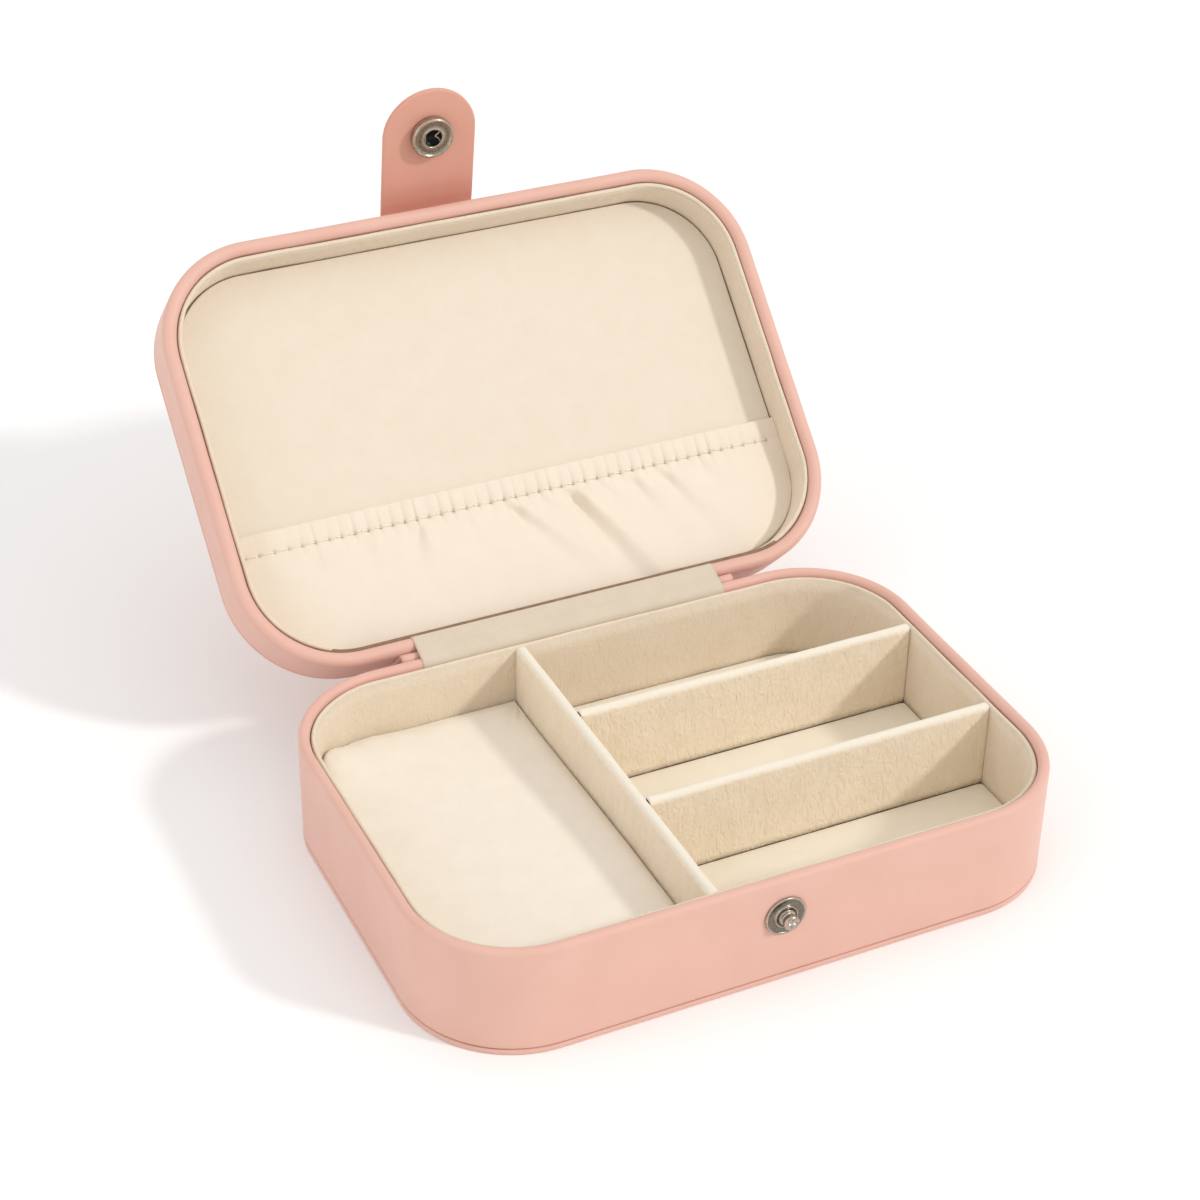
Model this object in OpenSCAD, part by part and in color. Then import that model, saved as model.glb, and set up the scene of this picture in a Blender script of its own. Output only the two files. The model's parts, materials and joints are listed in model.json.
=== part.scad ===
// Small travel jewelry box: leatherette over card, with a fabric hinge, suede
// compartments, an elastic pocket in the lid and a snap closure strap.
// Origin: centre of the underside. +X right, +Y towards the hinge, +Z up.
// The lid stands open, held back by its taut hinge lining.

/* [Case] */
// Outer width of the case
case_w = 165; // [150:1:180]
// Outer depth of the case, front to hinge
case_d = 114; // [106:1:126]
// Outer radius of the upright corners
corner_r = 27.6; // [22:0.1:30]
// Height of the base, underside to rim
base_h = 29.7; // [28:0.1:34]
// Depth of the lid, rim to outer top
lid_h = 16.6; // [16.4:0.1:20]
// Angle of the lid from closed
open_angle = 136; // [130:1:140]

/* [Walls] */
// Thickness of the leatherette
skin_t = 0.7; // [0.6:0.1:0.8]
// Thickness of the covered base wall
base_wall_t = 2.8; // [2.6:0.1:3.2]
// Thickness of the covered lid wall
lid_wall_t = 3.8; // [3.4:0.1:4]
// Thickness of the liner card
liner_card_t = 0.8; // [0.6:0.1:1]
// Thickness of the suede
suede_t = 0.6; // [0.4:0.1:0.7]
// Thickness of the covered bottom plate
plate_t = 1.4; // [1.2:0.1:1.6]
// Drop of the base liner's edge below the rim
liner_drop = 1.4; // [1:0.1:2]
// Drop of the lid liner's edge below the rim
lid_liner_drop = 1; // [0.8:0.1:2]

/* [Compartments] */
// Floor height of the right-hand compartments
floor_z = 5; // [4.8:0.1:8]
// Top of the padded left floor
pad_top = 12.8; // [10:0.1:15]
// Thickness of a covered divider
divider_t = 3; // [2.6:0.1:3.6]
// Middle of the long divider, from the middle of the case
long_divider_x = -16.2; // [-30:0.1:0]
// Front face of the rear short divider
rear_divider_y = 19.8; // [12:0.1:26]
// Front face of the front short divider
front_divider_y = -18; // [-28:0.1:-10]

/* [Lid lining] */
// Depth of the lid panel below the rim
panel_depth = 11; // [10:0.1:11]
// Height of the pocket's mouth above the hinge side of the lid
pocket_mouth = 40; // [36:1:50]
// How far the pocket stands out from the panel
pocket_bulge = 5.2; // [4:0.1:6]

/* [Hinge] */
// Distance of the hinge line behind the back wall
hinge_out = 0.9; // [0.8:0.1:1.2]
// Height of the hinge line above the base rim
hinge_up = 0.15; // [0:0.05:0.3]
// Gap between the rims of the closed box
rim_gap = 0.4; // [0.3:0.1:0.6]
// Width of the outer hinge strip
hinge_cover_w = 93; // [70:1:100]
// Width of the hinge lining
hinge_lining_w = 84.4; // [60:0.1:90]

/* [Closure] */
// Width of the strap
strap_w = 25.8; // [22:0.1:30]
// Thickness of the strap
strap_t = 1.6; // [1.4:0.1:2]
// Distance from the strap's bend to the snap
strap_reach = 22; // [20:0.1:24]
// Angle of the strap below the lid's top plane
strap_angle = 54; // [40:1:70]
// Height of the snap stud above the underside
stud_z = 19.2; // [18:0.1:21]
// Radius of the stud's flange
flange_r = 5.2; // [4.6:0.1:6]
// Radius of the snap socket
socket_r = 5.8; // [5:0.1:6.4]

/* [Hidden] */
$fn = 96;

pink = [0.90, 0.68, 0.62];
cream = [0.95, 0.90, 0.82];
card = [0.72, 0.66, 0.56];
foam = [0.96, 0.95, 0.88];
nickel = [0.75, 0.72, 0.68];

fit = 0.02;                     // clearance between glued layers
cut = 1;                        // overshoot of a cutting tool
seam = 0.3;                     // groove beside a covered plate
turn_in = 7;                    // width of leatherette turned in behind a rim

// Base heights and insets from the case outline
floor_card_t = 1.2;
floor_low = floor_z - suede_t - floor_card_t;
liner_top = base_h - liner_drop;
liner_in = base_wall_t + liner_card_t + suede_t;
long_left = long_divider_x - divider_t / 2;
long_right = long_divider_x + divider_t / 2;

// Lid heights, measured up from the rim of the closed lid
wall_top = 13.6;
plate_low = wall_top + seam;    // underside of the padded top
lid_foam_t = 0.8;
root_t = 1;                     // skived strap end between wall and top
root_low = plate_low - root_t;
lining_top = root_low - fit;
lid_liner_in = lid_wall_t + liner_card_t + suede_t;

// Hinge line and closed rim
hinge_y = case_d / 2 + hinge_out;
hinge_z = base_h + hinge_up;
rim_z = base_h + rim_gap;
hinge_flap = 16;                // hinge strip glued down the base's back wall
lid_flap = 10;                  // and down the lid's

// Snap and strap, measured out from the front wall of the closed box
flange_t = 0.5;
socket_gap = 0.3;
socket_h = 2.6;
neck_r = 1.5;
head_r = 2;
stud_len = 3.7;
socket_hole_r = 2.45;
rivet_r = 3.4;
rivet_t = 0.6;
rivet_pin_r = 0.9;
cap_r = 6;
cap_t = 0.9;
cap_post_r = 1.6;
wire_r = 0.25;
strap_in = flange_t + socket_gap + socket_h;
bend_out = strap_in + strap_t / 2;
bend_up = stud_z + strap_reach - rim_z;
strap_skin_t = 0.6;

// ---- Shared shapes ----

// Rounded rectangle, inset from the case outline
module outline(inset) {
    w = case_w - 2 * inset;
    d = case_d - 2 * inset;
    r = corner_r - inset;
    square([w, d - 2 * r], center = true);
    square([w - 2 * r, d], center = true);
    for (x = [-1, 1], y = [-1, 1])
        translate([x * (w / 2 - r), y * (d / 2 - r)]) circle(r);
}

module slab(inset, low, high) {
    translate([0, 0, low]) linear_extrude(high - low) outline(inset);
}

module ring(outer, inner, low, high) {
    difference() {
        slab(outer, low, high);
        slab(inner, low - cut, high + cut);
    }
}

// Box between two opposite corners
module block(low, high) {
    translate(low) cube(high - low);
}

// Everything right of x, for trimming
module right_of(x) {
    block([x, -case_d, -cut], [case_w, case_d, base_h + cut]);
}

// Extrudes a profile drawn in Y and Z across the width w
module across(w) {
    translate([-w / 2, 0, 0]) rotate([90, 0, 90]) linear_extrude(w) children();
}

// Strip of thickness t along a path of points
function heading(p, i) =
    let (a = p[max(i - 1, 0)], b = p[min(i + 1, len(p) - 1)]) (b - a) / norm(b - a);
function side(p, t) =
    [for (i = [0:len(p) - 1]) p[i] + t / 2 * [-heading(p, i)[1], heading(p, i)[0]]];
function reversed(p) = [for (i = [len(p) - 1:-1:0]) p[i]];
module strip(path, t) {
    polygon(concat(side(path, t), reversed(side(path, -t))));
}

// Arc of points about a centre
function arc(centre, r, from, to, steps = 10) =
    [for (i = [0:steps]) let (a = from + (to - from) * i / steps)
        centre + r * [cos(a), sin(a)]];

// Places what is drawn on the closed lid, with heights from its rim
module on_lid() {
    translate([0, hinge_y, hinge_z]) rotate([-open_angle, 0, 0])
        translate([0, -hinge_y, rim_z - hinge_z]) children();
}

// The same for a point [y, height] of the closed lid, as [y, z] of the open one
function lid_point(p) =
    let (y = p[0] - hinge_y, z = p[1] + rim_z - hinge_z,
        c = cos(open_angle), s = sin(open_angle))
    [hinge_y + c * y + s * z, hinge_z - s * y + c * z];

// Places what is drawn on the strap: Y along it from the bend, Z to its outer face
module on_strap() {
    on_lid() translate([0, -case_d / 2 - bend_out, bend_up])
        rotate([strap_angle, 0, 0]) rotate([0, 0, 180]) children();
}

// Places what is drawn on the base's front wall at the snap, Z out of the wall
module on_front() {
    translate([0, -case_d / 2, stud_z]) rotate([90, 0, 0]) children();
}

// ---- Base ----

module base_bottom_cover() {
    color(pink) slab(0, 0, plate_t);
}

module base_bottom_board() {
    color(card) slab(base_wall_t - skin_t + fit, plate_t + fit, floor_low - fit);
}

module stud_hole() {
    on_front() translate([0, 0, -base_wall_t - cut])
        cylinder(r = neck_r + fit, h = base_wall_t + 2 * cut);
}

module base_wall_board() {
    color(card) difference() {
        ring(skin_t, base_wall_t - skin_t, plate_t + fit, base_h - skin_t - fit);
        stud_hole();
    }
}

// Leatherette over the outside of the wall, over the rim and turned in behind it
module base_wall_cover() {
    color(pink) difference() {
        slab(0, plate_t + seam, base_h);
        ring(skin_t - fit, base_wall_t - skin_t + fit, plate_t, base_h - skin_t);
        slab(skin_t - fit, plate_t, base_h - turn_in);
        slab(base_wall_t, plate_t, base_h + cut);
        stud_hole();
    }
}

module base_liner_card() {
    color(card)
        ring(base_wall_t + fit, base_wall_t + liner_card_t, floor_low, liner_top - suede_t);
}

// Suede on the liner's face and over its edge
module base_liner_suede() {
    color(cream) difference() {
        ring(base_wall_t + fit, liner_in, floor_low, liner_top);
        ring(0, base_wall_t + liner_card_t + fit, floor_low - cut, liner_top - suede_t + fit);
    }
}

module tray_floor_card() {
    color(card) slab(liner_in + fit, floor_low, floor_z - suede_t - fit);
}

module tray_floor_suede() {
    color(cream) intersection() {
        slab(liner_in + fit, floor_z - suede_t, floor_z);
        right_of(long_left);
    }
}

// Left floor pad, inset all round, from its underside to a given height
module pad_shape(inset, low, high) {
    difference() {
        slab(liner_in + fit + inset, low, high);
        right_of(long_left - fit - inset);
    }
}

module pad_foam() {
    color(foam) pad_shape(suede_t + fit, floor_z - suede_t, pad_top - suede_t - fit);
}

module pad_suede() {
    color(cream) difference() {
        pad_shape(0, floor_z - suede_t, pad_top);
        pad_shape(suede_t, floor_z - suede_t - cut, pad_top - suede_t);
    }
}

// Divider of a length along +X, from y = 0 to its thickness
module divider_card(length, low) {
    color(card) block([0, suede_t + fit, low],
        [length, divider_t - suede_t - fit, liner_top - suede_t - fit]);
}

module divider_suede(length, low) {
    round_z = liner_top - divider_t / 2;
    color(cream) difference() {
        rotate([90, 0, 90]) linear_extrude(length) {
            translate([0, low]) square([divider_t, round_z - low]);
            translate([divider_t / 2, round_z]) circle(divider_t / 2);
        }
        block([-cut, suede_t, low - cut],
            [length + cut, divider_t - suede_t, liner_top - suede_t]);
    }
}

long_length = case_d - 2 * liner_in - 2 * fit;
short_length = case_w / 2 - liner_in - long_right - 2 * fit;

module at_long_divider() {
    translate([long_right, -long_length / 2, 0]) rotate([0, 0, 90]) children();
}

module long_divider_card() {
    at_long_divider() divider_card(long_length, floor_z + fit);
}

module long_divider_suede() {
    at_long_divider() divider_suede(long_length, floor_z + fit);
}

module rear_divider_card() {
    translate([long_right + fit, rear_divider_y, 0]) divider_card(short_length, floor_z + fit);
}

module rear_divider_suede() {
    translate([long_right + fit, rear_divider_y, 0]) divider_suede(short_length, floor_z + fit);
}

module front_divider_card() {
    translate([long_right + fit, front_divider_y, 0]) divider_card(short_length, floor_z + fit);
}

module front_divider_suede() {
    translate([long_right + fit, front_divider_y, 0]) divider_suede(short_length, floor_z + fit);
}

// Flange, neck and head in one turned piece, with a shank through the wall
module snap_stud() {
    shank = base_wall_t - skin_t;
    head_low = stud_len - 1.6;
    color(nickel) on_front() difference() {
        rotate_extrude() polygon([
            [0, -shank], [neck_r, -shank], [neck_r, 0], [flange_r, 0],
            [flange_r, flange_t], [flange_r - 0.5, flange_t + 0.25],
            [flange_r - 1, flange_t], [neck_r + 0.9, flange_t],
            [neck_r + 0.5, flange_t + 0.5], [neck_r, flange_t + 0.8],
            [neck_r, head_low], [head_r, head_low + 0.5], [head_r, stud_len - 0.6],
            [head_r - 0.5, stud_len], [0.9, stud_len], [0.6, stud_len - 0.3],
            [0, stud_len - 0.3]]);
        translate([0, 0, -shank - cut]) cylinder(r = rivet_pin_r + fit, h = cut + 2.4);
    }
}

module stud_rivet() {
    color(nickel) on_front() {
        translate([0, 0, -base_wall_t + skin_t - fit - rivet_t])
            cylinder(r = rivet_r, h = rivet_t);
        translate([0, 0, -base_wall_t + skin_t - fit - rivet_t / 2])
            cylinder(r = rivet_pin_r, h = 2 + rivet_t / 2);
    }
}

// Outer strip: up the base's back wall, over the hinge line and down the lid's
module hinge_cover() {
    base_y = case_d / 2 + fit + skin_t / 2;
    vee = 180 - open_angle;
    fold_r = 1;
    away = (fold_r - hinge_y + base_y) / sin(vee / 2);
    fold = [hinge_y, hinge_z] + away * [sin(vee / 2), -cos(vee / 2)];
    color(pink) across(hinge_cover_w) strip(concat(
        [[base_y, base_h - hinge_flap]], arc(fold, fold_r, 180, vee),
        [lid_point([base_y, lid_flap])]), skin_t);
}

// Inner strip: out of the gap behind the base liner, over both rims, into the lid
module hinge_lining() {
    t = 0.5;
    base_in = case_d / 2 - base_wall_t;
    lid_in = case_d / 2 - lid_wall_t;
    over = 0.1 + t / 2;
    color(cream) across(hinge_lining_w) strip([
        [base_in - over, liner_top + 0.1], [base_in - over, base_h - 0.1],
        [base_in - over + 0.2, base_h + over], [case_d / 2 - 0.4, base_h + over],
        lid_point([case_d / 2 - 0.5, -over - 0.2]), lid_point([lid_in + 0.1, -over - 0.2]),
        lid_point([lid_in - over, -0.2]), lid_point([lid_in - over, lid_liner_drop - 0.1])], t);
}

// ---- Lid ----

// Notch in the front wall's top edge, where the strap enters
module root_notch() {
    x = strap_w / 2 + fit;
    block([-x, -case_d / 2 - cut, root_low - fit],
        [x, -case_d / 2 + lid_wall_t + cut, wall_top + cut]);
}

module lid_wall_board() {
    color(card) on_lid() difference() {
        ring(skin_t, lid_wall_t - skin_t, skin_t + fit, wall_top);
        root_notch();
    }
}

module lid_wall_cover() {
    color(pink) on_lid() difference() {
        slab(0, 0, wall_top);
        ring(skin_t - fit, lid_wall_t - skin_t + fit, skin_t, wall_top + cut);
        slab(skin_t - fit, turn_in, wall_top + cut);
        slab(lid_wall_t, -cut, wall_top + cut);
        root_notch();
    }
}

module lid_top_board() {
    color(card) on_lid()
        slab(skin_t + fit, plate_low + fit, lid_h - skin_t - lid_foam_t - fit);
}

module lid_top_foam() {
    color(foam) on_lid()
        slab(skin_t + fit, lid_h - skin_t - lid_foam_t, lid_h - skin_t - fit);
}

module lid_top_cover() {
    color(pink) on_lid() difference() {
        slab(0, plate_low, lid_h);
        slab(skin_t, plate_low - cut, lid_h - skin_t);
    }
}

module lid_liner_card() {
    color(card) on_lid()
        ring(lid_wall_t + fit, lid_wall_t + liner_card_t,
            lid_liner_drop + suede_t, lining_top);
}

module lid_liner_suede() {
    color(cream) on_lid() difference() {
        ring(lid_wall_t + fit, lid_liner_in, lid_liner_drop, lining_top);
        ring(0, lid_wall_t + liner_card_t + fit,
            lid_liner_drop + suede_t - fit, lining_top + cut);
    }
}

module lid_panel_card() {
    color(card) on_lid()
        slab(lid_liner_in + fit, panel_depth + suede_t + fit, lining_top);
}

module lid_panel_suede() {
    color(cream) on_lid()
        slab(lid_liner_in + fit, panel_depth, panel_depth + suede_t);
}

// Pocket: one sheet from its elastic mouth, out over the bulge and in at the hinge side
module pocket_fabric() {
    t = 0.8;
    back = case_d / 2;
    shut = lid_liner_in + fit + t / 2;
    color(cream) on_lid() intersection() {
        across(case_w) strip([
            [back - pocket_mouth, panel_depth - 1.5], [back - 33, panel_depth - 1.7],
            [back - 24, panel_depth - 0.7 * pocket_bulge],
            [back - 15, panel_depth - pocket_bulge + t / 2],
            [back - 9, panel_depth - 0.8 * pocket_bulge],
            [back - shut - 0.5, panel_depth - 2], [back - shut, panel_depth - 0.1]], t);
        slab(lid_liner_in + fit, 0, lining_top);
    }
}

// Flat elastic in the pocket's mouth
module pocket_elastic() {
    x = case_w / 2 - lid_liner_in - 0.5;
    back = case_d / 2;
    color(foam) on_lid() block([-x, back - pocket_mouth + 1, panel_depth - 0.7],
        [x, back - 34.5, panel_depth - 0.2]);
}

// ---- Closure strap ----

module strap_root() {
    color(pink) on_lid()
        block([-strap_w / 2, -case_d / 2, root_low],
            [strap_w / 2, -case_d / 2 + 12, plate_low - fit]);
}

// The strap's bend, from the lid's front seam down to the stiff part
module strap_crease() {
    start = [-case_d / 2 - fit, plate_low - root_t / 2];
    end = [-case_d / 2 - bend_out, bend_up];
    corner = [end[0] + (start[1] - end[1]) / tan(strap_angle), start[1]];
    color(pink) on_lid() across(strap_w) strip([for (u = [0:0.1:1])
        (1 - u) * ((1 - u) * start + u * corner) + u * ((1 - u) * corner + u * end)], root_t);
}

module strap_outline(inset) {
    r = strap_w / 2 - inset;
    translate([-r, inset + fit]) square([2 * r, strap_reach - inset - fit]);
    translate([0, strap_reach]) circle(r);
}

// Layer of the strap between two heights, with a hole for the snap
module strap_layer(inset, low, high, hole_r) {
    difference() {
        translate([0, 0, low]) linear_extrude(high - low) strap_outline(inset);
        translate([0, strap_reach, low - cut]) cylinder(r = hole_r, h = high - low + 2 * cut);
    }
}

module strap_lining() {
    color(pink) on_strap()
        strap_layer(0, -strap_t / 2, -strap_t / 2 + strap_skin_t - fit, socket_hole_r);
}

module strap_stiffener() {
    color(card) on_strap()
        strap_layer(1.5, -strap_t / 2 + strap_skin_t, strap_t / 2 - strap_skin_t - fit,
            cap_post_r + fit);
}

module strap_outer() {
    low = -strap_t / 2 + strap_skin_t;
    color(pink) on_strap() difference() {
        strap_layer(0, low, strap_t / 2, cap_post_r + fit);
        strap_layer(1.5 - fit, low - cut, strap_t / 2 - strap_skin_t, 0.01);
    }
}

// Ring that snaps over the stud, with a raised lip
module snap_socket() {
    face = -strap_t / 2 - socket_h;
    back = -strap_t / 2 - fit;
    color(nickel) on_strap() translate([0, strap_reach, 0]) rotate_extrude() polygon([
        [socket_hole_r, face + 0.3], [socket_hole_r + 0.4, face + 0.3],
        [socket_r - 1.6, face + 0.3], [socket_r - 1.2, face], [socket_r - 0.5, face],
        [socket_r, face + 0.6], [socket_r, back], [socket_hole_r + 0.8, back],
        [socket_hole_r + 0.8, face + 1], [socket_hole_r, face + 1]]);
}

// Two spring wires either side of the stud's head, inside the socket
module socket_spring() {
    x = socket_hole_r + 0.4;
    z = -strap_t / 2 - 0.9;
    color(nickel) on_strap() translate([0, strap_reach, z])
        for (side_x = [-x, x]) translate([side_x, 0, 0])
            rotate([90, 0, 0]) cylinder(r = wire_r, h = 2.6, center = true, $fn = 24);
}

// Domed cap on the strap's outer face, with its post
module snap_cap() {
    low = strap_t / 2 + fit;
    color(nickel) on_strap() translate([0, strap_reach, 0]) rotate_extrude() polygon([
        [0, low - strap_t + strap_skin_t], [cap_post_r, low - strap_t + strap_skin_t],
        [cap_post_r, low], [cap_r, low], [cap_r, low + 0.3],
        [cap_r - 0.3, low + 0.6], [cap_r - 1.2, low + 0.8], [cap_r - 3, low + cap_t],
        [0, low + cap_t]]);
}

base_bottom_cover();
base_bottom_board();
base_wall_board();
base_wall_cover();
base_liner_card();
base_liner_suede();
tray_floor_card();
tray_floor_suede();
pad_foam();
pad_suede();
long_divider_card();
long_divider_suede();
rear_divider_card();
rear_divider_suede();
front_divider_card();
front_divider_suede();
snap_stud();
stud_rivet();
hinge_cover();
hinge_lining();
lid_wall_board();
lid_wall_cover();
lid_top_board();
lid_top_foam();
lid_top_cover();
lid_liner_card();
lid_liner_suede();
lid_panel_card();
lid_panel_suede();
pocket_fabric();
pocket_elastic();
strap_root();
strap_crease();
strap_lining();
strap_stiffener();
strap_outer();
snap_socket();
socket_spring();
snap_cap();
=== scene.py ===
"""A small travel jewelry box in pink leatherette and cream suede, standing open.

Lengths are in millimetres until a mesh is made. Pieces of the lid are drawn on
the closed lid, at a height above its rim, and then opened with it.
"""

import json
import math

import bmesh
import bpy
import numpy as np
from mathutils import Matrix, Vector, noise


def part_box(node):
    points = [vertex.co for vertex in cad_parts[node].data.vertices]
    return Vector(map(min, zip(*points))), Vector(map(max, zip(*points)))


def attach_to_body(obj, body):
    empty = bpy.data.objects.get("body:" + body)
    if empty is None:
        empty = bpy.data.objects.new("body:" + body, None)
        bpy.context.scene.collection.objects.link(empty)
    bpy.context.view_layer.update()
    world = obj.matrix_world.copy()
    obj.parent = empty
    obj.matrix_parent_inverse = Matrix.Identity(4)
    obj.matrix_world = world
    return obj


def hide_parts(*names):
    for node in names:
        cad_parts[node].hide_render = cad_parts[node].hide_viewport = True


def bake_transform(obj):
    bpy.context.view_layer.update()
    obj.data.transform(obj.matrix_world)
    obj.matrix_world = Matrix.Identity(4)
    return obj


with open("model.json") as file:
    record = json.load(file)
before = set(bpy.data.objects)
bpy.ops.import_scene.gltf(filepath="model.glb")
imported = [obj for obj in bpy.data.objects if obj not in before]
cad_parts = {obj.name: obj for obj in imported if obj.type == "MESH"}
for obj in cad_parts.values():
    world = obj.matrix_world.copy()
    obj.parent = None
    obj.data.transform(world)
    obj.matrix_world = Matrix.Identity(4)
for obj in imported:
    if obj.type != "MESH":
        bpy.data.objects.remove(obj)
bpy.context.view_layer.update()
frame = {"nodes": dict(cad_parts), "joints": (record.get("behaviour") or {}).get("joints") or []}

MM = 0.001


# ---- Sizes, from the frame where it holds them ----


def span(node):
    """A node's lowest and highest corners."""
    return [np.array(corner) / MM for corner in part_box(node)]


joints = {joint["name"]: joint for joint in frame["joints"]}
HINGE = np.array(joints["lid_hinge"]["pos_m"]) / MM
OPEN = -joints["lid_hinge"]["range_deg"][0]
BEND = np.array(joints["strap_fold"]["pos_m"]) / MM

case_low, case_high = span("base_wall_cover")
CASE_W, CASE_D = (case_high - case_low)[:2]
BASE_H = case_high[2]
SEAM_Z = case_low[2]  # bottom edge of the base's wall
PLATE_T = span("base_bottom_cover")[1][2]
LINER_TOP = span("base_liner_suede")[1][2]
FLOOR_Z = span("tray_floor_suede")[1][2]
FLOOR_LOW = span("tray_floor_suede")[0][2]
PAD_TOP = span("pad_suede")[1][2]
DIVIDER_TOP = span("long_divider_suede")[1][2]
CORNER_R = 27.6
BASE_WALL = 2.8
LID_WALL = 3.8
RIM_GAP = 0.4
SKIN = 0.7
BASE_LINER_IN = 4.2
LID_LINER_IN = 5.2
LID_LINER_DROP = 1.0
WALL_TOP = 13.6  # lid heights, from its rim
PLATE_LOW = 13.9
LID_H = 16.6
PANEL = 11.0
LINING_TOP = 12.88

LID = (
    Matrix.Translation(Vector((0, HINGE[1], HINGE[2])))
    @ Matrix.Rotation(math.radians(-OPEN), 4, "X")
    @ Matrix.Translation(Vector((0, -HINGE[1], BASE_H + RIM_GAP - HINGE[2])))
)


def place(points, matrix):
    """Points moved by a matrix."""
    m = np.array(matrix)
    return np.asarray(points, float) @ m[:3, :3].T + m[:3, 3]


def lid_point(x, y, h):
    return place([x, y, h], LID)


# ---- Materials ----


class Nodes:
    """A material's nodes, with short ways to add the ones used here."""

    def __init__(self, name):
        self.material = bpy.data.materials.new(name)
        self.material.use_nodes = True
        self.tree = self.material.node_tree
        self.shader = self.tree.nodes["Principled BSDF"]
        self.where = self.tree.nodes.new("ShaderNodeTexCoord").outputs["Object"]

    def add(self, kind, **inputs):
        node = self.tree.nodes.new(f"ShaderNode{kind}")
        for name, value in inputs.items():
            self.set(node.inputs[name.replace("_", " ")], value)
        return node

    def set(self, socket, value):
        if isinstance(value, bpy.types.NodeSocket):
            self.tree.links.new(value, socket)
        else:
            socket.default_value = value

    def noise(self, size_mm, detail=3, stretch=(1, 1, 1), distortion=0.0, roughness=0.5):
        """Noise with lumps of a size, longer along the axes where stretch is above 1."""
        mapping = self.add("Mapping", Vector=self.where, Scale=[1 / s for s in stretch])
        node = self.add(
            "TexNoise",
            Vector=mapping.outputs["Vector"],
            Scale=1 / (size_mm * MM),
            Detail=detail,
            Roughness=roughness,
            Distortion=distortion,
        )
        return node.outputs["Fac"]

    def cells(self, size_mm):
        node = self.add("TexVoronoi", Vector=self.where, Scale=1 / (size_mm * MM))
        return node.outputs["Distance"]

    def spread(self, value, low, high, to_low=0.0, to_high=1.0):
        """A value's range low..high, moved to another range."""
        node = self.add("MapRange", Value=value)
        for name, v in (("From Min", low), ("From Max", high), ("To Min", to_low), ("To Max", to_high)):
            node.inputs[name].default_value = v
        return node.outputs["Result"]

    def mix(self, amount, a, b):
        node = self.add("MixRGB", Fac=amount, Color1=a, Color2=b)
        return node.outputs["Color"]

    def above(self, low, high):
        """0 below a height in the piece's frame, in millimetres, and 1 above another."""
        split = self.add("SeparateXYZ", Vector=self.where)
        return self.spread(split.outputs["Z"], low * MM, high * MM)

    def painted_shade(self, tone, dark):
        """A colour with painted shade and dark reflections: darker where the mesh's layer for them says so.
        """
        layer = self.add("Attribute")
        layer.attribute_name = "painted_shade"
        return self.mix(layer.outputs["Fac"], tone, dark)

    def bump(self, height, depth_mm, strength, on=None):
        node = self.add("Bump", Height=height, Distance=depth_mm * MM, Strength=strength)
        if on is not None:
            self.set(node.inputs["Normal"], on)
        return node.outputs["Normal"]

    def finish(self, **inputs):
        for name, value in inputs.items():
            self.set(self.shader.inputs[name.replace("_", " ")], value)
        return self.material


def leatherette(name, colour, shade):
    """Soft polyurethane leather: a fine pebble, a slow unevenness and a dull sheen."""
    n = Nodes(name)
    tone = n.mix(n.spread(n.noise(14, 2), 0.3, 0.7), colour, shade)
    pebble = n.bump(n.cells(0.55), 0.03, 0.35)
    fine = n.bump(n.noise(0.22, 2), 0.015, 0.4, on=pebble)
    wavy = n.bump(n.noise(9, 2), 0.25, 0.25, on=fine)
    rough = n.spread(n.noise(3, 3), 0.3, 0.7, 0.46, 0.56)
    return n.finish(
        Base_Color=tone,
        Roughness=rough,
        Normal=wavy,
        Specular_IOR_Level=0.4,
        Sheen_Weight=0.12,
        Sheen_Roughness=0.5,
    )


TOP_HIGHLIGHT = (0.82, 0.75, 0.635, 1)  # painted highlight on top of the dividers
TOP_HIGHLIGHT_LOW, TOP_HIGHLIGHT_FADE = DIVIDER_TOP - 1.4, 1.1  # where it starts, and over what height


def suede(name, colour, shade, wrinkle=0.0, grain=1.0, highlight_above=None):
    """Brushed microfibre: mottled, with a short nap and, where wrinkle is set, a crepe; above a given
    height, a painted highlight.
    """
    n = Nodes(name)
    mottle = n.spread(n.noise(7, 5, roughness=0.65), 0.35, 0.68)
    speck = n.spread(n.noise(0.5, 3), 0.35, 0.65)
    tone = n.mix(0.35, n.mix(mottle, colour, shade), n.mix(speck, colour, shade))
    # painted shade: darker where the mesh's layer says, which is in the pocket's stitch holes
    tone = n.painted_shade(tone, [0.45 * c for c in shade[:3]] + [1])
    crepe_strength = 1.0
    # painted highlight: paler towards the top, where the crepe is also lessened
    if highlight_above:
        edge = n.above(highlight_above, highlight_above + TOP_HIGHLIGHT_FADE)
        tone = n.mix(edge, tone, TOP_HIGHLIGHT)
        crepe_strength = n.spread(edge, 0, 1, 1.0, 0.4)
    normal = n.bump(n.noise(0.28, 3), 0.06 * grain, 0.7)
    if wrinkle:
        crepe = n.noise(1.6, 4, stretch=(1, 1, 2.2), distortion=1.6, roughness=0.52)
        normal = n.bump(crepe, wrinkle, crepe_strength, on=normal)
    normal = n.bump(n.noise(5, 3), 0.18, 0.35, on=normal)
    return n.finish(
        Base_Color=tone,
        Roughness=0.93,
        Normal=normal,
        Specular_IOR_Level=0.15,
        Sheen_Weight=0.35,
        Sheen_Roughness=0.6,
        Sheen_Tint=(1.0, 0.97, 0.92, 1),
    )


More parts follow.
